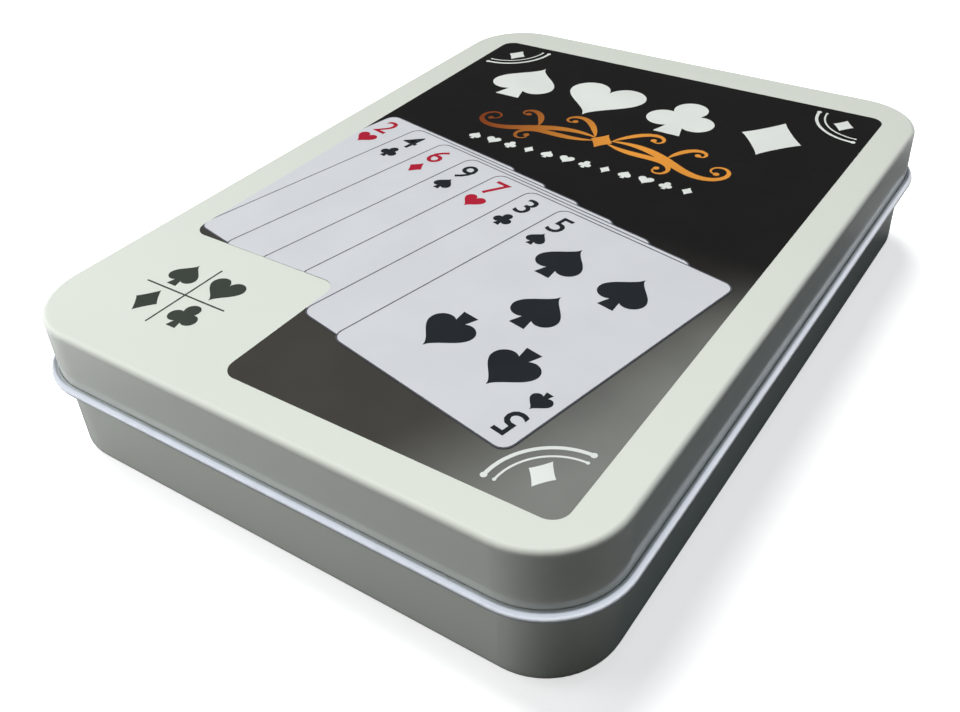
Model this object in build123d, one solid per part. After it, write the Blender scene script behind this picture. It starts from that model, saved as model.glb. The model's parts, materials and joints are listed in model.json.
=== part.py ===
"""A playing card tin: a drawn tray and a drawn lid of thin tinplate, hinged along one long side, with a full
deck of cards lying in the tray.

Frame: millimetres, +Z up, origin at the centre of the tray's underside. X runs across the tin, from the
hinge side (-X) to the side that opens (+X). Y runs along the tin, from the near end (-Y) to the far end (+Y).
"""

from build123d import *
import os
from math import copysign, cos, radians, sin

# Playing cards
card_width = 63.5
card_length = 88.9
card_thickness = 0.29
card_corner_radius = 3.2
card_gap = 0.01  # air left between one card and the next
card_slip = 0.2  # how far a card may lie out of line with the stack
slip_turn_across = 137.5  # degrees of phase from card to card, so that no two neighbours slip alike
slip_turn_along = 99.5

# Room left round the deck, measured to the inner face of the tray's rolled rim
side_room = 2.35
far_end_room = 1.2
finger_room = 5.0  # at the near end a fingertip goes in to lift the cards
headroom = 1.2  # over the deck, under the lid

# Tinplate
sheet = 0.2

# Tray
tray_corner_radius = 8.15  # outside, seen from above
tray_fold_radius = 1.5  # outside, between floor and wall
foot_width = 3.0  # flat band round the underside that the tin stands on
panel_rise = 0.35  # the floor inside that band is pressed up by this much
panel_slope = 45.0  # degrees that the sheet leans on its way up to the pressed panel
rim_roll_radius = 0.5  # outside, where the top edge rolls inwards
rim_flange = 1.2  # straight part of the rolled edge, pointing down inside the wall

# Lid
lid_fit = 0.35  # air between the lid's skirt and the tray's wall
lid_rest_gap = 0.15  # air between the tray's rim and the underside of the closed lid
lid_fold_radius = 0.6  # outside, between top and skirt
bead_height = 10.8  # centre of the bead above the underside
bead_radius = 0.54  # outside radius of the skirt's outward curl
bead_turn = 300.0  # degrees that the sheet turns from the skirt to its free edge

# Hinge: two tongues of the tray's wall pass through windows in the skirt and wrap round the lid's bead
hinge_offset = 27.0  # from the middle of the long side to the middle of a tongue
tongue_width = 8.0
tongue_root = 0.5  # the tongue leaves the wall this far below the bead's centre
tongue_wrap = 220.0  # degrees that the tongue turns round the bead, from its top to its free end
hinge_play = 0.06  # radial running clearance between bead and tongue
lance_gap = 0.3  # slit on each side of a tongue, where it was cut free of the wall
window_side_gap = 0.4
window_height = 1.5
cut_margin = 0.05  # how far a cutter reaches past each face of the sheet

SUITS = ("spades", "hearts", "diamonds", "clubs")
RANKS = ("ace", "two", "three", "four", "five", "six", "seven", "eight", "nine", "ten", "jack", "queen", "king")
JOKERS = ("first_joker", "second_joker")

# Worked out from the sizes above
card_names = JOKERS + tuple(f"{rank}_of_{suit}" for suit in SUITS for rank in RANKS)
card_pitch = card_thickness + card_gap
rim_depth = 2 * rim_roll_radius
tray_half_width = card_width / 2 + side_room + rim_depth
tray_half_length = (card_length + far_end_room + finger_room) / 2 + rim_depth
lid_growth = lid_fit + sheet
lid_half_width = tray_half_width + lid_growth
lid_half_length = tray_half_length + lid_growth
lid_corner_radius = tray_corner_radius + lid_growth
deck_centre_y = tray_half_length - rim_depth - far_end_room - card_length / 2
deck_bottom = sheet + panel_rise + card_gap
deck_top = deck_bottom + len(card_names) * card_pitch
tin_height = deck_top + headroom + sheet
rim_height = tin_height - sheet - lid_rest_gap
bead_reach = tray_half_width + lid_fit + bead_radius  # from the tin's middle to the bead's centre line
tongue_radius = bead_radius + hinge_play + sheet / 2  # middle of the tongue's sheet, round the bead
tongue_run = bead_reach - (tray_half_width - sheet / 2) - tongue_radius  # flat part over the bead
tongue_length = tongue_root + tongue_run + radians(90 + tongue_wrap) * tongue_radius  # before it was bent


def towards(angle):
    return Vector(cos(radians(angle)), sin(radians(angle)))


def bent_sheet(start_x, start_z, heading, *runs):
    """The section of a bent sheet in the XZ plane, from its middle line: (length,) goes straight on, and
    (radius, turn) bends through an angle, to the left where it is positive."""
    point = Vector(start_x, start_z)
    edges = []
    ends = []
    for run in runs:
        left = towards(heading + 90)
        ends.append([point + left * (side * sheet / 2) for side in (1, -1)])
        if len(run) == 1:
            step = towards(heading) * run[0]
            edges += [Line(corner, corner + step) for corner in ends[-1]]
            point = point + step
        else:
            radius, turn = run
            sense = copysign(1, turn)
            centre = point + left * (sense * radius)
            first = heading - 90 * sense
            edges += [CenterArc(centre, radius - side * sense * sheet / 2, first, turn) for side in (1, -1)]
            point = centre + towards(first + turn) * radius
            heading += turn
    left = towards(heading + 90)
    ends.append([point + left * (side * sheet / 2) for side in (1, -1)])
    edges += [Line(*ends[0]), Line(*ends[-1])]
    return Plane.XZ * make_face(edges)


def carry_round(section, half_width, half_length, corner_radius):
    """Carries a section round a rounded rectangle. The section is drawn with x measured outwards from the
    centre of a corner: the corners are revolved, and the sides between them are straight."""
    reach_x = half_width - corner_radius
    reach_y = half_length - corner_radius
    corner = revolve(section, Axis.Z, 90)
    pieces = []
    for quarter, (side_x, side_y) in enumerate(((1, 1), (-1, 1), (-1, -1), (1, -1))):
        pieces.append(Pos(side_x * reach_x, side_y * reach_y) * Rot(0, 0, 90 * quarter) * corner)
    long_side = Pos(reach_x, 0) * extrude(section, reach_y, both=True)
    short_side = Rot(0, 0, 90) * Pos(reach_y, 0) * extrude(section, reach_x, both=True)
    for turn in (0, 180):
        pieces.append(Rot(0, 0, turn) * long_side)
        pieces.append(Rot(0, 0, turn) * short_side)
    return pieces


def plate(half_width, half_length, corner_radius, inset, bottom):
    """A flat plate of the sheet's thickness, which closes a carried section on its inside."""
    outline = RectangleRounded(2 * (half_width - inset), 2 * (half_length - inset), corner_radius - inset)
    return Pos(0, 0, bottom) * extrude(outline, sheet)


def hinge_places():
    """The middle of each hinge tongue, looking along the long side."""
    return (-hinge_offset, hinge_offset)


def sheet_cutter(half_width, length, height, bottom):
    """Cutters through the wall or skirt on the hinge side, one for each tongue."""
    cutter = Box(sheet + 2 * cut_margin, length, height, align=(Align.CENTER, Align.CENTER, Align.MIN))
    return [Pos(sheet / 2 - half_width, place, bottom) * cutter for place in hinge_places()]


def hinge_tongues():
    """The tongues that stand up from the tray's wall, pass over the bead and wrap down round it."""
    section = bent_sheet(
        tray_half_width - sheet / 2,
        bead_height - tongue_root,
        90,
        (tongue_root,),
        (tongue_radius, -90),
        (tongue_run,),
        (tongue_radius, -tongue_wrap),
    )
    tongue = Rot(0, 0, 180) * extrude(section, tongue_width / 2, both=True)
    return [Pos(0, place, 0) * tongue for place in hinge_places()]


def base_tray():
    """Floor with a pressed panel, rounded lower edge, straight wall and a rim rolled inwards."""
    slope_radius = panel_rise / (2 * (1 - cos(radians(panel_slope))))
    slope_run = 2 * slope_radius * sin(radians(panel_slope))
    panel_inset = tray_fold_radius + foot_width + slope_run
    section = bent_sheet(
        tray_corner_radius - panel_inset,
        panel_rise + sheet / 2,
        0,
        (slope_radius, -panel_slope),
        (slope_radius, panel_slope),
        (foot_width,),
        (tray_fold_radius - sheet / 2, 90),
        (rim_height - rim_roll_radius - tray_fold_radius,),
        (rim_roll_radius - sheet / 2, 180),
        (rim_flange,),
    )
    shell = carry_round(section, tray_half_width, tray_half_length, tray_corner_radius)
    floor = plate(tray_half_width, tray_half_length, tray_corner_radius, panel_inset, panel_rise)
    root = bead_height - tongue_root
    lanced = sheet_cutter(tray_half_width, tongue_width + 2 * lance_gap, tongue_length, root)
    return floor.fuse(*shell).cut(*lanced).fuse(*hinge_tongues()).clean()


def lid_shell():
    """Flat top, rounded upper edge, straight skirt and a lower edge curled outwards into a bead."""
    section = bent_sheet(
        lid_corner_radius - lid_fold_radius,
        tin_height - sheet / 2,
        0,
        (lid_fold_radius - sheet / 2, -90),
        (tin_height - lid_fold_radius - bead_height,),
        (bead_radius - sheet / 2, bead_turn),
    )
    shell = carry_round(section, lid_half_width, lid_half_length, lid_corner_radius)
    top = plate(lid_half_width, lid_half_length, lid_corner_radius, lid_fold_radius, tin_height - sheet)
    windows = sheet_cutter(lid_half_width, tongue_width + 2 * window_side_gap, window_height, bead_height)
    return top.fuse(*shell).cut(*windows).clean()


def card(number):
    """One card of the stack, counted from the bottom and slipped a little out of line."""
    slip_x = card_slip * sin(radians(number * slip_turn_across))
    slip_y = card_slip * sin(radians(number * slip_turn_along))
    outline = RectangleRounded(card_width, card_length, card_corner_radius)
    place = Pos(slip_x, deck_centre_y + slip_y, deck_bottom + number * card_pitch)
    return place * extrude(outline, card_thickness)


def main():
    pieces = {"base_tray": base_tray(), "lid_shell": lid_shell()}
    for number, name in enumerate(card_names):
        pieces[name] = card(number)
    os.makedirs("parts", exist_ok=True)
    for name, piece in pieces.items():
        export_step(piece, f"parts/{name}.step")
    print("tin", 2 * lid_half_width, 2 * lid_half_length, tin_height, "bead", -bead_reach, bead_height)


main()
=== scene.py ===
"""The looks of a playing card tin: varnished tinplate outside, bright tinplate inside and on the curled bead,
a litho print on the lid and a deck of cards in the tray.

Lengths are in metres, in the parts' own frame: X runs from the hinge side (-X) to the side that opens, Y from the
near end (-Y) to the far end, and Z up. Prints are laid out in millimetres from the middle of their own panel."""
import json
from math import cos, pi, radians, sin

import bmesh
import bpy
import numpy as np
from bpy.props import FloatProperty, FloatVectorProperty, PointerProperty
from mathutils import Euler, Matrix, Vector


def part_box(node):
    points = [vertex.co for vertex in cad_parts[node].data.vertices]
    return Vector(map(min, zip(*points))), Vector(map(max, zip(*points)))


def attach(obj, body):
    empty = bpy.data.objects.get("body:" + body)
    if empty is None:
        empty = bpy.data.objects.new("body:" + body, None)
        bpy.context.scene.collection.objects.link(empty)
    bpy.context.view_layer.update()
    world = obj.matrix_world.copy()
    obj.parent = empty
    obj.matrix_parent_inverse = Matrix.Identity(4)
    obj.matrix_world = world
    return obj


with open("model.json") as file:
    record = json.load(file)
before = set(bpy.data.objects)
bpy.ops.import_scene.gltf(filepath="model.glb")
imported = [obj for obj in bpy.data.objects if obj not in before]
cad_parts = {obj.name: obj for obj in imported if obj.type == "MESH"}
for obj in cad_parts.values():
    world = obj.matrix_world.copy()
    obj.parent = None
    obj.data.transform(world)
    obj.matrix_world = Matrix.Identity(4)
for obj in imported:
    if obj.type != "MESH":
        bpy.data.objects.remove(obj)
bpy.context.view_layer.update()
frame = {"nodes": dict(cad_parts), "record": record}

bl_info = {
    "name": "Playing card tin",
    "version": (1, 0, 0),
    "blender": (4, 5, 0),
    "location": "3D View > Sidebar > Card tin",
    "description": "Finishes, prints and cards for a hinged playing card tin",
    "category": "Object",
}

MM = 0.001

# The folded sheet, in the sizes that the parts have
SHEET = 0.2 * MM
LID_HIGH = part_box("lid_shell")[1]
TRAY_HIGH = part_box("base_tray")[1]
BEAD_RADIUS = 0.54 * MM
BEAD_HEIGHT = 10.8 * MM
LID_HALF_WIDTH = LID_HIGH.x - 2 * BEAD_RADIUS + SHEET
LID_HALF_LENGTH = LID_HIGH.y - 2 * BEAD_RADIUS + SHEET
LID_CORNER = 8.7 * MM
LID_FOLD = 0.6 * MM
LID_TOP = LID_HIGH.z
TRAY_HALF_WIDTH = TRAY_HIGH.x
TRAY_HALF_LENGTH = TRAY_HIGH.y
TRAY_CORNER = 8.15 * MM
TRAY_FOLD = 1.5 * MM
RIM_ROLL = 0.5 * MM
RIM_FLANGE = 1.2 * MM
DECK = tuple(frame["record"]["behaviour"]["bodies"]["tray"])
TOP_CARD = "king_of_clubs"

# The print's place on the lid, in millimetres
PANEL_CENTRE = (0.15, -0.75)
INK = 0.01  # thickness of the ground
LAYER = 0.004  # from one printed layer to the next

# The printed cards: number and suit of each, from the lowest to the one on top
PRINTED_CARDS = tuple(zip("2469735", ("heart", "club", "diamond", "spade", "heart", "club", "spade")))
CARD_TURN = -12.0  # degrees
LAST_CARD = (13.6, -19.2)  # mm, middle of the card on top
CARD_STEP = (5.8, -1.85)  # mm, from one card to the next
CARD_SHAPE = 88.9 / 63.5  # length to width
SUIT_INKS = {"spade": "black", "heart": "red", "club": "black", "diamond": "red"}
SUITS = tuple(SUIT_INKS)

FINE = 2000  # points of an outline that others are cut to
TINY = 1e-9  # stands for 0 where it is divided by
MIDDLING = (0.3, 0.7)  # most values of a noise lie between these
INK_CLOUD, INK_SPECK, INK_RIPPLE = 9 * MM, 0.25 * MM, 2.4 * MM  # patches of the tone, the gloss and the relief
INK_RELIEF = 0.001 * MM
INK_GLOSS = (0.24, 0.27)  # roughness
MIX_INPUTS = (6, 7)  # the colour sockets of a Mix node
MIX_RESULT = 2


def seen(red, green, blue):
    """A colour as a screen shows it, from 0 to 255, turned to the light it stands for: below 0.04045 a share of
    12.92, above that the power 2.4 of (value + 0.055) / 1.055."""
    levels = np.array((red, green, blue)) / 255
    light = np.where(levels <= 0.04045, levels / 12.92, ((levels + 0.055) / 1.055) ** 2.4)
    return tuple(light.tolist())


def colour(name, description, red, green, blue):
    return FloatVectorProperty(
        name=name, description=description, subtype="COLOR", size=3, min=0, max=1, default=seen(red, green, blue)
    )


def length(name, description, millimetres):
    return FloatProperty(
        name=name, description=description, unit="LENGTH", subtype="DISTANCE", min=0, default=millimetres * MM
    )


def share(name, description, default):
    return FloatProperty(name=name, description=description, subtype="FACTOR", min=0, max=1, default=default)


class TinFinish(bpy.types.PropertyGroup):
    """Varnish and bare metal."""

    varnish: colour("Varnish", "Pale varnish on the outside of the tin", 221, 226, 217)
    bare: colour("Tinplate", "Bright metal inside the tin and on the bead", 219, 223, 231)
    varnish_roughness: share("Varnish roughness", "How blurred the varnish's reflections are", 0.24)
    bare_roughness: share("Tinplate roughness", "How blurred the metal's reflections are", 0.34)
    shine: share("Tinplate shine", "How much the bare plate mirrors rather than scatters", 0.85)
    peel: length("Peel", "Depth of the ripple in the varnish", 0.0012)


class PanelPrint(bpy.types.PropertyGroup):
    """The printed panel on the lid."""

    width: length("Width", "Width of the printed panel", 61.9)
    length: length("Length", "Length of the printed panel", 87.8)
    corner: length("Corner radius", "Radius at the panel's corners", 1.9)
    tab_width: length("Tab width", "Width of the unprinted tab in the near left corner", 22.8)
    tab_length: length("Tab length", "Length of the unprinted tab", 17.9)
    card_width: length("Card width", "Width of a printed card", 25.0)
    ground: colour("Ground", "Black far part of the panel", 31, 30, 30)
    table: colour("Table", "Grey near part of the panel", 67, 65, 61)
    # Partly the print's own paler grey, partly a painted reflection of a bright part of the room on the glossy ground
    light: colour("Light", "Paler grey in the near right corner of the panel", 126, 128, 124)
    paper: colour("Paper", "Faces of the printed cards", 207, 209, 214)
    edge: colour("Edge line", "Line round each printed card", 88, 90, 98)
    white: colour("White", "Suits and corner rings on the ground", 222, 226, 222)
    black: colour("Black", "Black pips and numbers", 38, 42, 46)
    red: colour("Red", "Red pips and numbers", 172, 36, 56)
    gold: colour("Gold", "Bright end of the scroll", 226, 150, 62)
    copper: colour("Copper", "Dark end of the scroll", 122, 58, 30)
    mark: colour("Mark", "Small suits in the tab", 62, 68, 62)


class DeckFinish(bpy.types.PropertyGroup):
    """The cards in the tray."""

    face: colour("Board", "White card board", 232, 232, 228)
    back: colour("Back", "Ground of the pattern on the backs", 146, 28, 40)
    border: length("Border", "White margin round the pattern", 3.4)
    pitch: length("Pitch", "From one line of the lattice to the next", 3.1)


class Studio(bpy.types.PropertyGroup):
    """Floor, backdrop and lamps."""

    floor: colour("Floor", "Pale floor and backdrop", 244, 245, 246)
    shade: share("Bounce", "How pale the floor is to the light that it throws back", 0.12)
    glow: share("Glow", "Light that the floor adds where it is seen, so that it looks white", 0.65)
    mirrored: share("Mirrored room", "How bright the room looks in metal and varnish", 1.0)
    key: FloatProperty(name="Key", description="Strength of the main light", min=0, default=3.14)
    fill: FloatProperty(name="Fill", description="Strength of the fill light", min=0, default=2.3)
    cool: FloatProperty(name="Cool", description="Strength of the faint light on the right", min=0, default=0.67)
    room: FloatProperty(name="Room", description="Strength of the light from all round", min=0, default=0.045)


# Arithmetic on a surface


def arithmetic(operation):
    """A method that works out one operation at each point."""

    def work_out(self, *others):
        node = self.tree.nodes.new("ShaderNodeMath")
        node.operation = operation
        for socket, value in zip(node.inputs, (self, *others)):
            feed(self.tree, socket, value)
        return Reading(self.tree, node.outputs["Value"])

    return work_out


class Reading:
    """A number that is worked out at each point of a surface. Sums of readings become nodes of the material."""

    def __init__(self, tree, source):
        self.tree = tree
        self.source = source

    __add__ = arithmetic("ADD")
    __sub__ = arithmetic("SUBTRACT")
    __mul__ = arithmetic("MULTIPLY")
    __truediv__ = arithmetic("DIVIDE")
    over = arithmetic("GREATER_THAN")  # 1 where this is more than the other, else 0
    under = arithmetic("LESS_THAN")
    larger = either = arithmetic("MAXIMUM")
    smaller = arithmetic("MINIMUM")
    size = arithmetic("ABSOLUTE")
    wave = arithmetic("SINE")
    power = arithmetic("POWER")

    def absent(self):
        """1 where this is 0, and 0 where this is 1."""
        return (self * -1) + 1

    def rise(self, low, high, bottom=0.0, top=1.0):
        """Goes smoothly from bottom to top as this goes from low to high."""
        node = self.tree.nodes.new("ShaderNodeMapRange")
        node.interpolation_type = "SMOOTHSTEP"
        feed(self.tree, node.inputs["Value"], self)
        for name, value in (("From Min", low), ("From Max", high), ("To Min", bottom), ("To Max", top)):
            node.inputs[name].default_value = value
        return Reading(self.tree, node.outputs["Result"])


def feed(tree, socket, value):
    if isinstance(value, Reading):
        tree.links.new(value.source, socket)
    else:
        socket.default_value = (*value, 1.0) if hasattr(value, "__len__") else value


def blended(tree, factor, first, second):
    """A colour that goes from the first to the second as the factor goes from 0 to 1."""
    node = tree.nodes.new("ShaderNodeMix")
    node.data_type = "RGBA"
    feed(tree, node.inputs["Factor"], factor)
    for socket, value in zip(MIX_INPUTS, (first, second)):
        feed(tree, node.inputs[socket], value)
    return Reading(tree, node.outputs[MIX_RESULT])


def along_axes(tree, vector):
    """The X, Y and Z of a vector."""
    split = tree.nodes.new("ShaderNodeSeparateXYZ")
    tree.links.new(vector, split.inputs["Vector"])
    return [Reading(tree, split.outputs[axis]) for axis in "XYZ"]


def met_by(tree, *kinds):
    """1 or 0 for each kind of ray, by whether it is the kind that meets the surface."""
    path = tree.nodes.new("ShaderNodeLightPath")
    return [Reading(tree, path.outputs[f"Is {kind} Ray"]) for kind in kinds]


def distance(across, along):
    return ((across * across) + (along * along)).power(0.5)


def round_distance(across, along, radius):
    """How far a point stands outside a quarter round and the straight sides that go on from it, less than 0 inside.
    From the round's centre it is the distance where both readings are past it, and elsewhere the larger of them."""
    outside = distance(across.larger(0), along.larger(0))
    return outside + across.larger(along).smaller(0) - radius


def plan_distance(place, half_width, half_length, corner):
    """The same for a rounded rectangle seen from above."""
    return round_distance(place[0].size() - (half_width - corner), place[1].size() - (half_length - corner), corner)


class Finish:
    """One material, with the point of the surface in the parts' frame at hand."""

    def __init__(self, name, coat=0.0, coat_roughness=0.1, specular=0.5):
        self.material = bpy.data.materials.new(name)
        self.material.use_nodes = True
        self.tree = self.material.node_tree
        self.shader = self.tree.nodes["Principled BSDF"]
        self.set("Coat Weight", coat)
        self.set("Coat Roughness", coat_roughness)
        self.set("Specular IOR Level", specular)
        self.where = self.tree.nodes.new("ShaderNodeTexCoord").outputs["Object"]
        self.place = along_axes(self.tree, self.where)

    def grain(self, size, detail=2.0, stretch=(1, 1, 1)):
        """Cloudy noise from 0 to 1, whose patches are about the given size."""
        mapping = self.tree.nodes.new("ShaderNodeMapping")
        mapping.inputs["Scale"].default_value = [part / size for part in stretch]
        self.tree.links.new(self.where, mapping.inputs["Vector"])
        noise = self.tree.nodes.new("ShaderNodeTexNoise")
        noise.inputs["Scale"].default_value = 1.0
        noise.inputs["Detail"].default_value = detail
        self.tree.links.new(mapping.outputs["Vector"], noise.inputs["Vector"])
        return Reading(self.tree, noise.outputs[0])

    def facing(self):
        """The upward part of the surface's own direction."""
        return along_axes(self.tree, self.tree.nodes.new("ShaderNodeNewGeometry").outputs["True Normal"])[2]

    def mix(self, factor, first, second):
        return blended(self.tree, factor, first, second)

    def tones(self, factor, tint, first, last):
        """A colour that goes from one share of a tint to another as the factor goes from 0 to 1."""
        return self.mix(factor, *([min(1.0, part * by) for part in tint] for by in (first, last)))

    def set(self, name, value):
        feed(self.tree, self.shader.inputs[name], value)

    def relief(self, height, depth):
        """Raises the surface by the height, where 1 stands for the depth."""
        bump = self.tree.nodes.new("ShaderNodeBump")
        bump.inputs["Distance"].default_value = depth
        feed(self.tree, bump.inputs["Height"], height)
        self.tree.links.new(bump.outputs["Normal"], self.shader.inputs["Normal"])


def put_on(node_name, material):
    frame["nodes"][node_name].material_slots[0].material = material


# Meshes


def slab(outlines, low, high):
    """Thin flat plates. Each closed outline is carried straight up from one height to another: the two ends are
    one face each, and a band of four-sided faces joins them. Outlines is an array of shapes by points by two."""
    outlines = np.asarray(outlines, float)
    count, points = outlines.shape[:2]
    ahead = np.roll(outlines, -1, axis=1)
    area = (outlines[..., 0] * ahead[..., 1] - outlines[..., 1] * ahead[..., 0]).sum(axis=1)
    outlines = np.where((area < 0)[:, None, None], outlines[:, ::-1], outlines)
    heights = np.stack([np.broadcast_to(low, count), np.broadcast_to(high, count)], axis=1)
    verts = np.empty((count, 2, points, 3))
    verts[..., :2] = outlines[:, None]
    verts[..., 2] = heights[:, :, None]
    base = (np.arange(count) * 2 * points)[:, None]
    ring = base + np.arange(points)
    after = base + np.roll(np.arange(points), -1)
    sides = np.stack([ring, after, after + points, ring + points], axis=-1).reshape(-1, 4)
    faces = ring[:, ::-1].tolist() + (ring + points).tolist() + sides.tolist()
    return verts.reshape(-1, 3), faces


def joined(parts):
    """Several shapes as one: the points in a row, and the faces counted on from shape to shape."""
    verts = np.concatenate([part[0] for part in parts])
    starts = np.cumsum([0] + [len(part[0]) for part in parts[:-1]])
    faces = [[start + corner for corner in face] for start, part in zip(starts.tolist(), parts) for face in part[1]]
    return verts, faces


def new_object(name, data):
    thing = bpy.data.objects.new(name, data)
    bpy.context.scene.collection.objects.link(thing)
    return thing


def add_print(name, parts, material):
    """Makes a printed piece of the lid, from shapes in millimetres on the panel and above the lid."""
    verts, faces = joined(parts)
    verts = (verts + (*PANEL_CENTRE, 0)) * MM + (0, 0, LID_TOP)
    mesh = bpy.data.meshes.new(name)
    mesh.from_pydata(verts.tolist(), [], faces)
    mesh.validate()
    mesh.materials.append(material)
    piece = new_object(name, mesh)
    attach(piece, "lid")


def all_round(count):
    return np.linspace(0, 2 * pi, count, endpoint=False)


def towards(angles):
    """Points at a distance of 1, in the given directions."""
    return np.stack([np.cos(angles), np.sin(angles)], axis=-1)


def unit(steps):
    return steps / np.linalg.norm(steps, axis=1, keepdims=True)


def seen_from_middle(points):
    """How far points lie from the middle, and in which directions."""
    x, y = points[..., 0], points[..., 1]
    return np.hypot(x, y), np.arctan2(y, x)


def turned(points, angle, place=(0, 0), size=1.0):
    """Points scaled, turned left by an angle in degrees and moved to a place."""
    turn = radians(angle)
    return np.asarray(points) * size @ np.array(((cos(turn), sin(turn)), (-sin(turn), cos(turn)))) + place


def rounded(corners, radii, steps=12):
    """A closed outline with its corners rounded. Each corner becomes an arc that touches both of its sides: its
    centre lies on the line that halves the corner, at the radius over the sine of half the angle."""
    corners = np.asarray(corners, float)
    radii = np.broadcast_to(np.asarray(radii, float), len(corners))[:, None]
    back = unit(np.roll(corners, 1, axis=0) - corners)
    ahead = unit(np.roll(corners, -1, axis=0) - corners)
    halving = unit(back + ahead)
    cosine = (halving * ahead).sum(axis=1, keepdims=True)
    sine = np.sqrt(1 - cosine**2)
    centres = corners + halving * radii / sine
    touching = [corners + side * radii * cosine / sine - centres for side in (back, ahead)]
    first, last = (np.arctan2(touch[:, 1], touch[:, 0]) for touch in touching)
    sweep = (last - first + pi) % (2 * pi) - pi
    angles = first[:, None] + sweep[:, None] * np.linspace(0, 1, steps)
    return (centres[:, None] + radii[:, None] * towards(angles)).reshape(-1, 2)


def even(outline, count):
    """A closed outline with its points spread evenly along it."""
    closed = np.concatenate([outline, outline[:1]])
    run = np.concatenate([[0], np.cumsum(np.linalg.norm(np.diff(closed, axis=0), axis=1))])
    places = np.linspace(0, run[-1], count, endpoint=False)
    return np.stack([np.interp(places, run, closed[:, axis]) for axis in (0, 1)], axis=-1)


def rectangle(width, height, corner):
    x, y = width / 2, height / 2
    return rounded(((-x, -y), (x, -y), (x, y), (-x, y)), corner)


def stroke(length, heading, bend, start, count=80):
    """The middle line of a pen stroke that bends more and more. Its direction is the heading plus the bend added up
    along it, and the bend goes from its first value to its second as the cube of the way gone."""
    run = np.linspace(0, 1, count)
    first, last = bend
    direction = radians(heading) + length * (first * run + (last - first) * run**4 / 4)
    steps = towards((direction[1:] + direction[:-1]) / 2) * length / (count - 1)
    return np.concatenate([np.zeros((1, 2)), np.cumsum(steps, axis=0)]) + start


def strip(path, widths, low, high):
    """A thin closed strip along a path: a four-sided section is carried along it. Its left and right corners lie
    half the width to each side, at right angles to the path, and its ends are closed with one face each."""
    path = np.asarray(path, float)
    along = unit(np.gradient(path, axis=0))
    left = np.stack([-along[:, 1], along[:, 0]], axis=-1) * np.broadcast_to(widths, len(path))[:, None] / 2
    count = len(path)
    verts = np.empty((count, 4, 3))
    verts[:, (0, 3), :2] = (path + left)[:, None]
    verts[:, (1, 2), :2] = (path - left)[:, None]
    verts[:, :2, 2] = low
    verts[:, 2:, 2] = high
    corner = np.arange(count - 1)[:, None] * 4 + np.arange(4)
    after = corner + (1, 1, 1, -3)
    sides = np.stack([corner, corner + 4, after + 4, after], axis=-1).reshape(-1, 4)
    last = 4 * count - 4
    ends = [[0, 1, 2, 3], [last + 3, last + 2, last + 1, last]]
    return verts.reshape(-1, 3), sides.tolist() + ends


def disc(place, radius, points=24):
    """A circle of points round a place."""
    return towards(all_round(points)) * radius + place


# Suits: the reach from the middle in each direction, so that every suit is one outline


def reach_of(points, directions):
    """The distance from the middle to a closed outline, in the given directions."""
    reach, around = seen_from_middle(points)
    order = np.argsort(around)
    return np.interp(directions, around[order], reach[order], period=2 * pi)


def heart_reach(directions):
    """The heart curve: x is 16 times the cube of the sine, and y is 13, -5, -2 and -1 times the cosines of one, two,
    three and four times the angle. It is moved up by 1.5 and divided by 29, so that it is about 1 high."""
    turn = all_round(720)
    x = 16 * np.sin(turn) ** 3
    y = 13 * np.cos(turn) - 5 * np.cos(2 * turn) - 2 * np.cos(3 * turn) - np.cos(4 * turn)
    return reach_of(np.stack([x, y + 1.5], axis=-1) / 29, directions)


def spade_leaf_reach(directions):
    """The heart upside down, at 0.84 of its size and moved up by 0.085, so that its stem shows."""
    turn = np.linspace(-pi, pi, 720, endpoint=False)
    reach = heart_reach(-turn) * 0.84
    return reach_of(towards(turn) * reach[:, None] + (0, 0.085), directions)


def disc_reach(directions, x, y, radius):
    """How far a ray from the middle goes until it leaves a disc, and 0 where it misses it."""
    along = np.cos(directions) * x + np.sin(directions) * y
    inside = radius**2 - (x**2 + y**2) + along**2
    return np.where(inside > 0, along + np.sqrt(np.maximum(inside, 0)), 0)


def stem_reach(directions, foot=0.5, half_foot=0.19):
    """A wedge that widens from the middle to a flat foot: the foot's depth over the sine, while the ray still meets
    the foot."""
    down = -np.sin(directions)
    meets = (down > 0) & (np.abs(np.cos(directions)) * foot <= half_foot * np.maximum(down, TINY))
    return np.where(meets, foot / np.maximum(down, TINY), 0)


def diamond_reach(directions, half_width=0.39, half_height=0.5, bow=0.9):
    """A diamond with hollow sides: across over the half width and up over the half height, each to the power of the
    bow, add up to 1."""
    across = (np.abs(np.cos(directions)) / half_width) ** bow
    upwards = (np.abs(np.sin(directions)) / half_height) ** bow
    return 1 / (across + upwards) ** (1 / bow)


def suit(name, points=120):
    """The outline of a suit, about 1 high, round its own middle."""
    directions = all_round(points) - pi / 2
    if name == "diamond":
        reach = diamond_reach(directions)
    elif name == "heart":
        reach = heart_reach(directions)
    elif name == "spade":
        reach = np.maximum(spade_leaf_reach(directions), stem_reach(directions))
    else:
        leaves = [disc_reach(directions, x, y, 0.225) for x, y in ((0, 0.262), (-0.235, -0.085), (0.235, -0.085))]
        reach = np.maximum(np.max(leaves, axis=0), stem_reach(directions))
    return towards(directions) * reach[:, None]


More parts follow.
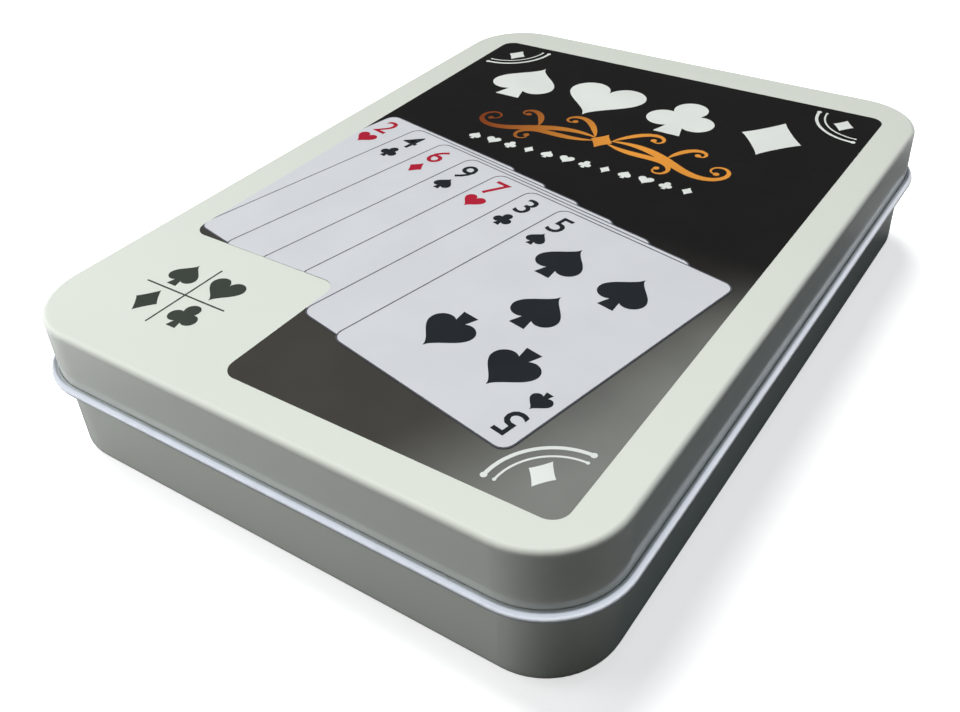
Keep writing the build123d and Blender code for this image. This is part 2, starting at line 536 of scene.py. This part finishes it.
def number_outlines(text, height):
    """A number as a thin plate, one layer of print thick, with its middle at 0: its points, in millimetres, and its
    faces. A digit's height is 0.72 of the font's size, and its lines are a little bolder than the font's."""
    font = bpy.data.curves.new("number", "FONT")
    font.body = text
    font.align_x = "CENTER"
    font.align_y = "CENTER"
    font.size = height / 0.72
    font.extrude = LAYER / 2
    font.resolution_u = 3
    font.offset = height * 0.012
    holder = new_object("number", font)
    bpy.context.view_layer.update()
    mesh = bpy.data.meshes.new_from_object(holder)
    work = bmesh.new()
    work.from_mesh(mesh)
    bmesh.ops.remove_doubles(work, verts=work.verts, dist=1e-5)
    bmesh.ops.recalc_face_normals(work, faces=work.faces)
    work.to_mesh(mesh)
    work.free()
    verts = np.array([vertex.co for vertex in mesh.vertices])
    faces = [list(face.vertices) for face in mesh.polygons]
    bpy.data.objects.remove(holder)
    bpy.data.curves.remove(font)
    bpy.data.meshes.remove(mesh)
    middle = (verts.min(axis=0) + verts.max(axis=0)) / 2
    return verts - middle, faces


def card_places():
    """Where each printed card lies, with its height above the ground."""
    behind = np.arange(len(PRINTED_CARDS))[::-1, None]
    places = np.array(LAST_CARD) - behind * np.array(CARD_STEP)
    heights = INK + LAYER * 3 * np.arange(len(PRINTED_CARDS))
    return places, heights


def reach_ratio(outline, points):
    """How many times as far from the middle the outline lies, in the direction of each point."""
    gone, around = seen_from_middle(points)
    return reach_of(outline, around) / np.maximum(gone, TINY)


def cut_to_panel(points, prints):
    """Keeps outlines on the printed ground. Points inside the tab are pushed out to its edge, straight away from the
    panel's near left corner, and points beyond the panel's edge are drawn back to it, straight towards the middle."""
    half = np.array((prints.width, prints.length)) / MM / 2
    tab_width, tab_length, radius = prints.tab_width / MM, prints.tab_length / MM, prints.corner / MM
    beyond = -9  # the tab's outline starts outside the panel's corner
    tab = ((beyond, beyond), (tab_width, beyond), (tab_width, tab_length), (beyond, tab_length))
    tab = even(rounded(tab, radius), FINE)
    from_corner = points + half
    push = np.where((from_corner > 0).all(axis=-1), np.maximum(1, reach_ratio(tab, from_corner)), 1)
    points = from_corner * push[..., None] - half
    edge = even(rectangle(*(2 * half), radius), FINE)
    return points * np.minimum(1, reach_ratio(edge, points))[..., None]


def ink(name, first, *others, mottle=0.06):
    """Printing ink under varnish: its colour wavers by the mottle, and its gloss is uneven. Each further colour comes
    with a function that gives its share from the finish."""
    finish = Finish(name, coat=0.18, coat_roughness=0.12, specular=0.03)
    cloud = finish.grain(INK_CLOUD, detail=3).rise(*MIDDLING)
    speck = finish.grain(INK_SPECK, detail=1).rise(0.35, 0.65)
    mixed = finish.tones(cloud, first, 1 - mottle, 1 + mottle)
    for other, spread in others:
        mixed = finish.mix(spread(finish), mixed, finish.tones(cloud, other, 1 - mottle, 1 + mottle))
    finish.set("Base Color", mixed)
    finish.set("Roughness", speck.rise(0, 1, *INK_GLOSS))
    finish.relief(finish.grain(INK_RIPPLE, detail=2), INK_RELIEF)
    return finish.material


class PieceOperator:
    """What the operators share."""

    bl_options = {"REGISTER", "UNDO"}


class CARDTIN_OT_varnish(PieceOperator, bpy.types.Operator):
    """Gives the tray and the lid pale varnish on the outer face of their sheet and bright tinplate on the inner"""

    bl_idname = "card_tin.varnish"
    bl_label = "Varnish the tin"

    cloud_size = 26 * MM  # patches of the varnish's tone
    speck_size = 0.35 * MM  # and of its gloss
    spangle_size = 2.5 * MM  # crystals of the tin on the bare metal
    ripple_size = 1.6 * MM
    varnish_tones = (0.965, 1.03)  # shares of the colour, from the darkest to the palest
    metal_tones = (0.97, 1.03)
    varnish_gloss = (-0.02, 0.03)  # added to the roughness, from the glossiest to the dullest
    metal_gloss = (-0.01, 0.01)
    bead_start = 0.17 * MM  # the bead is everything this far outside the middle of the skirt's sheet

    def finish_of(self, looks, name, painted_of):
        finish = Finish(name, coat=0.65, coat_roughness=0.08, specular=0.1)
        painted = painted_of(finish)
        cloud = finish.grain(self.cloud_size, detail=2)
        speck = finish.grain(self.speck_size, detail=1).rise(*MIDDLING)
        varnish = finish.tones(cloud, looks.varnish, *self.varnish_tones)
        spangle = finish.grain(self.spangle_size, detail=3, stretch=(1, 0.4, 1)).rise(*MIDDLING)
        metal = finish.tones(spangle, looks.bare, *self.metal_tones)
        finish.set("Base Color", finish.mix(painted, metal, varnish))
        finish.set("Metallic", painted.absent() * looks.shine)
        gloss = speck.rise(0, 1, *(looks.varnish_roughness + step for step in self.varnish_gloss))
        dull = spangle.rise(0, 1, *(looks.bare_roughness + step for step in self.metal_gloss))
        finish.set("Roughness", (gloss * painted) + (dull * painted.absent()))
        finish.relief(finish.grain(self.ripple_size, detail=2), looks.peel)
        return finish.material

    def lid_painted(self, finish):
        """Outside the middle of the sheet, but not on the bead, where the sheet has turned over."""
        half = SHEET / 2
        from_skirt = plan_distance(finish.place, LID_HALF_WIDTH - half, LID_HALF_LENGTH - half, LID_CORNER - half)
        fold = LID_FOLD - half
        outer = round_distance(from_skirt + fold, finish.place[2] - (LID_TOP - LID_FOLD), fold).over(0)
        roll = BEAD_RADIUS - half
        on_bead = from_skirt.over(self.bead_start)
        turned_over = distance(from_skirt - roll, finish.place[2] - BEAD_HEIGHT).over(roll)
        return outer * (on_bead * turned_over).absent()

    def tray_painted(self, finish):
        """Outside the middle of the wall and under the floor, and over the rolled rim to the end of its flange."""
        half = SHEET / 2
        from_wall = plan_distance(finish.place, TRAY_HALF_WIDTH - half, TRAY_HALF_LENGTH - half, TRAY_CORNER - half)
        height = finish.place[2]
        fold = TRAY_FOLD - half
        outer = round_distance(from_wall + fold, (height * -1) + TRAY_FOLD, fold).over(0)
        under = finish.facing().under(-0.5) * height.under(TRAY_FOLD)
        roll = RIM_ROLL - half
        roll_height = TRAY_HIGH.z - RIM_ROLL
        rim = height.over(roll_height) * distance(from_wall + roll, height - roll_height).over(roll)
        flange = from_wall.under(-2 * roll) * from_wall.over(-2 * roll - SHEET)
        flange = flange * height.over(roll_height - RIM_FLANGE - SHEET)
        return outer.either(under).either(rim).either(flange)

    def execute(self, context):
        looks = context.scene.tin_finish
        put_on("lid_shell", self.finish_of(looks, "lid varnish and tinplate", self.lid_painted))
        put_on("base_tray", self.finish_of(looks, "tray varnish and tinplate", self.tray_painted))
        return {"FINISHED"}


class CARDTIN_OT_deck(PieceOperator, bpy.types.Operator):
    """Gives the cards white board with a fine fibre, and a lattice on their backs"""

    bl_idname = "card_tin.deck"
    bl_label = "Finish the cards"

    fibre_size = 0.4 * MM
    board_tones = (0.93, 1)  # shares of the colour
    fibre_gloss = (0.36, 0.46)  # roughness
    ripple_size = 0.3 * MM
    ripple_depth = 0.002 * MM
    ink_cloud = 5 * MM
    ink_tones = (0.92, 1.08)
    field_corner = 1.6 * MM  # radius at the corners of the printed field
    # Two sets of waves cross: ink lies where one of them is low, where both are, and at the tops
    line_below = 0.16
    knot_below = 0.62
    dot_above = 1.72
    edge_line = 0.75 * MM  # width of the line round the field
    edge_gap = 0.35 * MM  # of the white line inside it

    def execute(self, context):
        looks = context.scene.deck_finish
        low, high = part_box(TOP_CARD)
        finish = Finish("card board and lattice back", coat=0.15, coat_roughness=0.25)
        x = finish.place[0] - (low.x + high.x) / 2
        y = finish.place[1] - (low.y + high.y) / 2
        fibre = finish.grain(self.fibre_size, detail=3)
        board = finish.tones(fibre, looks.face, *self.board_tones)
        half_width, half_length = (high.x - low.x) / 2 - looks.border, (high.y - low.y) / 2 - looks.border
        in_field = plan_distance((x, y), half_width, half_length, self.field_corner)
        turn = pi / looks.pitch
        waves = [((x + y) * turn).wave().size(), ((x - y) * turn).wave().size()]
        lines = waves[0].smaller(waves[1])
        knots = waves[0] + waves[1]
        drawn = lines.under(self.line_below).either(knots.under(self.knot_below)).either(knots.over(self.dot_above))
        white_line = in_field.over(-self.edge_line - self.edge_gap) * in_field.under(-self.edge_line)
        printed = in_field.under(0) * drawn.either(white_line).absent()
        printed = printed.either(in_field.under(0) * in_field.over(-self.edge_line))
        printed = printed * finish.facing().over(0.5)
        backed = finish.tones(finish.grain(self.ink_cloud), looks.back, *self.ink_tones)
        finish.set("Base Color", finish.mix(printed, board, backed))
        finish.set("Roughness", fibre.rise(0.2, 0.8, *self.fibre_gloss))
        finish.relief(finish.grain(self.ripple_size, detail=2), self.ripple_depth)
        for name in DECK:
            if name != "base_tray":
                put_on(name, finish.material)
        return {"FINISHED"}


class CARDTIN_OT_ground(PieceOperator, bpy.types.Operator):
    """Prints the black and grey ground of the panel round its unprinted tab, with a paler near right corner that is
    partly the print's grey and partly a painted reflection
    """

    bl_idname = "card_tin.ground"
    bl_label = "Print the ground"

    fade = (4 * MM, -12 * MM)  # along the tin, from where the grey begins to where it is full
    waver_size = 30 * MM  # the fade's edge isn't quite straight
    waver_depth = 6 * MM
    print_and_sheen_slant = 0.35  # the paler corner's edge, across for each millimetre along; the corner is partly print and partly a painted reflection
    print_and_sheen_fade = (26 * MM, 44 * MM)

    def nearer(self, finish):
        waver = finish.grain(self.waver_size, detail=1) * self.waver_depth
        return (finish.place[1] + waver).rise(*self.fade)

    # Share of the paler grey: partly print, partly a painted reflection in the near right corner
    def near_right_print_and_sheen(self, finish):
        slanted = finish.place[0] - (finish.place[1] * self.print_and_sheen_slant)
        return self.nearer(finish) * slanted.rise(*self.print_and_sheen_fade)

    def execute(self, context):
        prints = context.scene.panel_print
        x, y = prints.width / MM / 2, prints.length / MM / 2
        tab_x, tab_y = prints.tab_width / MM - x, prints.tab_length / MM - y
        corners = ((tab_x, -y), (x, -y), (x, y), (-x, y), (-x, tab_y), (tab_x, tab_y))
        outline = rounded(corners, prints.corner / MM, 14)
        greys = (prints.table, self.nearer), (prints.light, self.near_right_print_and_sheen)
        material = ink("panel ground", prints.ground, *greys, mottle=0.05)
        add_print("panel_ground", [slab([outline], 0, INK)], material)
        return {"FINISHED"}


class CARDTIN_OT_cards(PieceOperator, bpy.types.Operator):
    """Prints a slanting row of number cards"""

    bl_idname = "card_tin.cards"
    bl_label = "Print the cards"

    points = 260  # of a card's outline
    # Millimetres
    corner = 1.25
    line = 0.18  # width of the line round a card
    line_corner = 1.4
    index_inset = (2.3, 3.1)  # from a card's corner to the middle of its number
    index_height = 3.6
    index_drop = 4.0  # from the number down to the small suit
    index_suit = 2.8
    spots = ((-4.6, 8.6), (4.6, 8.6), (0, 0), (-4.6, -8.6), (4.6, -8.6))  # large suits on the top card
    spot_suit = 6.6

    def execute(self, context):
        prints = context.scene.panel_print
        width = prints.card_width / MM
        height = width * CARD_SHAPE
        places, heights = card_places()
        card = rectangle(width, height, self.corner)
        grown = rectangle(width + 2 * self.line, height + 2 * self.line, self.line_corner)
        turned_cards = (turned(even(outline, self.points), CARD_TURN)[None] for outline in (card, grown))
        faces, edges = (cut_to_panel(outline + places[:, None], prints) for outline in turned_cards)
        paper = ink("printed card faces", prints.paper, mottle=0.02)
        line = ink("printed card edges", prints.edge)
        add_print("printed_card_edges", [slab(edges, heights, heights + LAYER)], line)
        add_print("printed_cards", [slab(faces, heights, heights + 2 * LAYER)], paper)

        inks = {"black": [], "red": []}
        index_x, index_y = width / 2 - self.index_inset[0], height / 2 - self.index_inset[1]
        for (number, name), place, low in zip(PRINTED_CARDS, places, heights + 2 * LAYER):
            top_card = (number, name) == PRINTED_CARDS[-1]
            parts = inks[SUIT_INKS[name]]
            for half_turn in (0, 180) if top_card else (0,):
                turn = CARD_TURN + half_turn
                verts, number_faces = number_outlines(number, self.index_height)
                flat = turned(verts[:, :2], turn, turned((-index_x, index_y), turn, place))
                parts.append((np.column_stack([flat, verts[:, 2] + low + LAYER / 2]), number_faces))
                pip = turned((-index_x, index_y - self.index_drop), turn, place)
                parts.append(slab([turned(suit(name), turn, pip, self.index_suit)], low, low + LAYER))
            if top_card:
                spots = np.array(self.spots)
                turns = np.where(spots[:, 1] < 0, 180, 0) + CARD_TURN
                middles = [turned(spot, CARD_TURN, place) for spot in spots]
                pips = [turned(suit(name), turn, middle, self.spot_suit) for middle, turn in zip(middles, turns)]
                parts.append(slab(pips, low, low + LAYER))
        for name, parts in inks.items():
            add_print(f"printed_{name}_pips", parts, ink(f"{name} ink", getattr(prints, name)))
        return {"FINISHED"}


class CARDTIN_OT_suits(PieceOperator, bpy.types.Operator):
    """Prints four large white suits, and a row of small ones"""

    bl_idname = "card_tin.suits"
    bl_label = "Print the suits"

    # Each row in millimetres: how many, the first one's place, from one to the next, their size and their points
    large = (4, (-19.5, 31.0), 13, 10.8, 144)
    small = (12, (-15.95, 12.2), 2.9, 1.9, 120)

    def row(self, count, first, step, size, points):
        places = [(first[0] + step * number, first[1]) for number in range(count)]
        return [turned(suit(SUITS[number % 4], points), 0, place, size) for number, place in enumerate(places)]

    def execute(self, context):
        prints = context.scene.panel_print
        parts = [slab(self.row(*row), INK, INK + LAYER) for row in (self.large, self.small)]
        add_print("white_suits", parts, ink("white ink", prints.white, mottle=0.03))
        return {"FINISHED"}


class CARDTIN_OT_scroll(PieceOperator, bpy.types.Operator):
    """Prints the scroll in gold"""

    bl_idname = "card_tin.scroll"
    bl_label = "Print the scroll"

    middle = (0.0, 19.2)  # mm
    # Each stroke to the right: length, heading in degrees, first and last bend per mm, start, and greatest width
    strokes = (
        (25.0, 16, (-0.10, 1.30), (1.2, 0.5), 1.15),
        (15.0, -24, (0.10, -1.7), (1.2, -0.4), 0.9),
        (10.5, 60, (-0.05, -2.0), (1.4, 0.8), 0.75),
        (8.0, 76, (-0.12, -2.4), (10.0, 0.0), 0.7),
    )
    thinnest = 0.2  # mm, width of a stroke at its ends
    swell = (0.7, 1.4)  # powers of the way gone and of its sine, so that a stroke is widest before its middle
    dot = 0.42  # mm, radius of the dot that ends a stroke
    diamond = 4.2  # mm
    copper_fade = (6 * MM, -20 * MM)  # across the tin, from where copper begins to where it is full

    def left_end(self, finish):
        return finish.place[0].rise(*self.copper_fade)

    def execute(self, context):
        prints = context.scene.panel_print
        parts = [slab([turned(suit("diamond"), 0, self.middle, self.diamond)], INK, INK + LAYER)]
        for number, (length, heading, bend, start, widest) in enumerate(self.strokes):
            path = stroke(length, heading, bend, start)
            run = np.linspace(0, 1, len(path))
            widths = self.thinnest + widest * np.sin(pi * run ** self.swell[0]) ** self.swell[1]
            top = INK + LAYER * (1 + 0.25 * number)  # crossing strokes don't share a face
            for side in (-1, 1):
                mirrored = path * (side, 1) + self.middle
                parts.append(strip(mirrored, widths, INK, top))
                parts.append(slab([disc(mirrored[-1], self.dot)], INK, top + LAYER))
        add_print("gold_scroll", parts, ink("gold ink", prints.gold, (prints.copper, self.left_end)))
        return {"FINISHED"}


class CARDTIN_OT_corners(PieceOperator, bpy.types.Operator):
    """Prints quarter rings round a diamond in three corners of the panel"""

    bl_idname = "card_tin.corners"
    bl_label = "Print the corner rings"

    margin = 1.7  # mm, from the panel's edge to the ends of the rings
    rings = ((7.0, 0.42), (5.9, 0.24))  # mm, radius and width of each
    dot_size = 0.8  # radius of the dots at a ring's ends, by its width
    diamond_place = 2.7  # mm, from the rings' centre, both ways
    diamond_size = 3.6  # mm

    def execute(self, context):
        prints = context.scene.panel_print
        x, y = prints.width / MM / 2 - self.margin, prints.length / MM / 2 - self.margin
        turn = np.linspace(0, pi / 2, 48)
        parts = []
        for outwards in ((-1, 1), (1, 1), (1, -1)):
            centre = np.array((x, y)) * outwards
            for radius, width in self.rings:
                ring = centre - towards(turn) * outwards * radius
                parts.append(strip(ring, width, INK, INK + LAYER))
                dots = [disc(end, width * self.dot_size) for end in (ring[0], ring[-1])]
                parts.append(slab(dots, INK, INK + 2 * LAYER))
            place = centre - np.array(outwards) * self.diamond_place
            parts.append(slab([turned(suit("diamond"), 0, place, self.diamond_size)], INK, INK + LAYER))
        add_print("corner_rings", parts, ink("white line ink", prints.white))
        return {"FINISHED"}


class CARDTIN_OT_mark(PieceOperator, bpy.types.Operator):
    """Prints four small suits and a cross of lines in the unprinted tab"""

    bl_idname = "card_tin.mark"
    bl_label = "Print the mark"

    # Millimetres
    shift = (-1.8, -1.2)  # from the tab's middle
    suits = {"spade": (-3, 2.8), "heart": (3, 2.8), "diamond": (-3, -2.8), "club": (3, -2.8)}
    suit_size = 4.2
    arms = ((6, 0), (0, 5.6))  # half of each line
    line = 0.22

    def execute(self, context):
        prints = context.scene.panel_print
        middle = np.array((prints.tab_width - prints.width, prints.tab_length - prints.length)) / MM / 2 + self.shift
        pips = [turned(suit(name), 0, middle + place, self.suit_size) for name, place in self.suits.items()]
        parts = [slab(pips, 0, INK)]
        for arm, top in zip(np.array(self.arms), (INK, INK * 1.2)):
            parts.append(strip((middle - arm, middle + arm), self.line, 0, top))
        add_print("tab_mark", parts, ink("grey ink", prints.mark))
        return {"FINISHED"}


class CARDTIN_OT_stage(PieceOperator, bpy.types.Operator):
    """Sets the floor, the backdrop, the lamps and the camera"""

    bl_idname = "card_tin.stage"
    bl_label = "Set the stage"

    # The floor and the backdrop that it curves up into, in metres
    floor_rings = (0.02, 0.2, 0.6)
    bend_start = 1.2
    bend = 0.3
    backdrop_height = 0.62
    floor_sides = 96

    # What is seen and mirrored of them
    dark_heading = 130  # degrees, the way to the part of the room that stays dark in reflections
    # From where the room begins to brighten to where it is full
    dark_edge = (0.72, 0.56)  # mirrored, by the cosine of the angle from the dark heading
    shadow_edge = (12 * MM, 40 * MM)  # painted shadow on the mirrored floor, out from the tin
    wall_edge = (30 * MM, 200 * MM)  # mirrored backdrop, upwards
    glow_edge = (0.25, 0.8)  # m, seen floor, out from the middle
    shadow_share = 0.15  # how bright the mirrored floor is next to the tin, inside the painted shadow
    shadow_shift = 5 * MM  # how far the painted shadow is out of line with the tin, both ways
    white_room = 1.2  # strength of what is seen past the backdrop
    dust_size = 40 * MM
    dust_tones = (0.985, 1)
    warm = (1.0, 0.94, 0.86)  # light from all round
    cold = (0.94, 0.97, 1.0)  # what is mirrored

    # Each lamp: kind, heading and height in degrees, distance in metres, and tint
    key = ("SUN", 150, 63, 0.5, (1.0, 1.0, 0.985))
    cool = ("SUN", 60, 15, 0.5, (0.45, 0.72, 1.0))
    fill = ("AREA", 217, 12, 0.24, (0.97, 0.98, 1.0))
    key_angle = 32  # degrees, how wide the lamp looks from the tin
    cool_angle = 50
    fill_size = 0.22  # m, across the disc

    # The camera
    camera_place = (61.05, -95.06, 81.43)  # mm
    camera_turn = (53.851, 1.751, 33.041)  # degrees
    lens = 38.9  # mm
    shift = (-0.0285, -0.0327)
    clip = (0.005, 20.0)  # m

    def floor(self, looks):
        """A floor that curves up into a backdrop all round: a line goes out, bends up through a quarter circle and
        rises, and is turned round the upright axis."""
        turn = np.linspace(0, pi / 2, 13)
        reach = np.r_[self.floor_rings, self.bend_start + self.bend * np.sin(turn), self.bend_start + self.bend]
        height = np.r_[(0,) * len(self.floor_rings), self.bend * (1 - np.cos(turn)), self.backdrop_height]
        around = all_round(self.floor_sides)[:, None]
        ring = np.stack([reach * np.cos(around), reach * np.sin(around), height + 0 * around], axis=-1)
        points = ring.shape[1]
        start = np.arange(self.floor_sides)[:, None] * points + np.arange(points - 1)
        after = np.roll(start, -1, axis=0)
        faces = np.stack([start + 1, after + 1, after, start], axis=-1).reshape(-1, 4)
        centre = (np.arange(self.floor_sides) * points).tolist()
        mesh = bpy.data.meshes.new("floor")
        mesh.from_pydata(ring.reshape(-1, 3).tolist(), [], faces.tolist() + [centre])
        mesh.shade_smooth()
        floor = new_object("floor", mesh)
        mesh.materials.append(self.floor_material(looks))

    def floor_material(self, looks):
        """Pale where it is seen or mirrored, but for a painted shadow on the floor close to the tin, which only metal
        and varnish mirror, and dark to the light that it throws back. It adds light of its own where it is seen, and
        where the backdrop is mirrored."""
        finish = Finish("floor", specular=0.0)
        finish.set("Roughness", 0.9)
        straight, glossy, through = met_by(finish.tree, "Camera", "Glossy", "Transmission")
        mirrored = glossy.larger(through)
        x, y, z = finish.place
        # Painted shadow: what metal and varnish mirror of the floor is dimmed next to the tin
        shadow = (x - self.shadow_shift, y - self.shadow_shift)
        near = plan_distance(shadow, TRAY_HALF_WIDTH, TRAY_HALF_LENGTH, TRAY_CORNER)
        paleness_with_painted_shadow = straight.larger(mirrored * near.rise(*self.shadow_edge, self.shadow_share, 1))
        pale = finish.tones(finish.grain(self.dust_size, detail=3), looks.floor, *self.dust_tones)
        finish.set("Base Color", finish.mix(paleness_with_painted_shadow, (looks.shade,) * 3, pale))
        finish.set("Emission Color", (1, 1, 1))
        out = distance(x, y)
        wall = self.bright_side((x, y), distance(out, z)) * z.rise(*self.wall_edge)
        glow = straight * out.rise(*self.glow_edge, looks.glow, 1)
        finish.set("Emission Strength", glow + (mirrored * wall * looks.mirrored))
        return finish.material

    def bright_side(self, place, away):
        """How bright the room looks from the tin, in the direction of a place: 1, but for a dark part round one
        heading. It goes by the cosine of the angle between the two."""
        heading = radians(self.dark_heading)
        ahead = (place[0] * cos(heading)) + (place[1] * sin(heading))
        return (ahead / away).rise(*self.dark_edge)

    def lamp(self, name, strength, kind, azimuth, elevation, away, tint):
        """A lamp that lights matt surfaces and is not mirrored."""
        light = bpy.data.lights.new(name, kind)
        light.energy = strength
        light.color = tint
        lamp = new_object(name, light)
        lamp.location = Euler((0, radians(-elevation), radians(azimuth))).to_matrix() @ Vector((away, 0, 0))
        lamp.rotation_euler = lamp.location.to_track_quat("Z", "Y").to_euler()
        lamp.visible_camera = lamp.visible_glossy = False
        return light

    def room(self, looks):
        """Dim light from all round, and a room that looks bright in metal and varnish."""
        world = bpy.data.worlds.new("room")
        world.use_nodes = True
        tree = world.node_tree
        x, y, z = along_axes(tree, tree.nodes.new("ShaderNodeTexCoord").outputs["Generated"])
        straight, mirrored = met_by(tree, "Camera", "Glossy")
        wall = self.bright_side((x, y), 1.0) * z.over(0) * looks.mirrored
        background = tree.nodes["Background"]
        feed(tree, background.inputs["Color"], blended(tree, mirrored, self.warm, self.cold))
        feed(tree, background.inputs["Strength"], (straight * self.white_room) + (mirrored * wall) + looks.room)
        bpy.context.scene.world = world

    def lamps(self, looks):
        self.lamp("key", looks.key, *self.key).angle = radians(self.key_angle)
        self.lamp("cool", looks.cool, *self.cool).angle = radians(self.cool_angle)
        away = self.fill[3]
        fill = self.lamp("fill", looks.fill * pi * away**2, *self.fill)
        fill.shape = "DISK"
        fill.size = self.fill_size

    def camera(self, scene):
        lens = bpy.data.cameras.new("camera")
        lens.lens = self.lens
        lens.shift_x, lens.shift_y = self.shift
        lens.clip_start, lens.clip_end = self.clip
        camera = new_object("camera", lens)
        camera.location = [part * MM for part in self.camera_place]
        camera.rotation_euler = Euler([radians(part) for part in self.camera_turn])
        scene.camera = camera

    def execute(self, context):
        looks = context.scene.studio
        self.floor(looks)
        self.room(looks)
        self.lamps(looks)
        self.camera(context.scene)
        context.scene.view_settings.view_transform = "Standard"
        return {"FINISHED"}


class CARDTIN_PT_panel(bpy.types.Panel):
    """Lists the steps and their sizes in the 3D view's sidebar."""

    bl_label = "Card tin"
    bl_idname = "CARDTIN_PT_panel"
    bl_space_type = "VIEW_3D"
    bl_region_type = "UI"
    bl_category = "Card tin"

    def draw(self, context):
        for title, group in GROUPS.items():
            box = self.layout.box()
            box.label(text=group.bl_rna.name)
            for key in group.__annotations__:
                box.prop(getattr(context.scene, title), key)
        for operator in OPERATORS:
            self.layout.operator(operator.bl_idname)


GROUPS = {"tin_finish": TinFinish, "panel_print": PanelPrint, "deck_finish": DeckFinish, "studio": Studio}
TIN_OPERATORS = (CARDTIN_OT_stage, CARDTIN_OT_varnish, CARDTIN_OT_deck)
PANEL_OPERATORS = (CARDTIN_OT_ground, CARDTIN_OT_cards, CARDTIN_OT_suits, CARDTIN_OT_scroll, CARDTIN_OT_corners)
OPERATORS = (*TIN_OPERATORS, *PANEL_OPERATORS, CARDTIN_OT_mark)
CLASSES = (*GROUPS.values(), *OPERATORS, CARDTIN_PT_panel)


def register():
    for kind in CLASSES:
        bpy.utils.register_class(kind)
    for title, group in GROUPS.items():
        setattr(bpy.types.Scene, title, PointerProperty(type=group))


def unregister():
    for title in GROUPS:
        delattr(bpy.types.Scene, title)
    for kind in CLASSES:
        bpy.utils.unregister_class(kind)


def main():
    register()
    for operator in OPERATORS:
        getattr(bpy.ops.card_tin, operator.bl_idname.split(".")[1])()


if __name__ == "__main__":
    main()
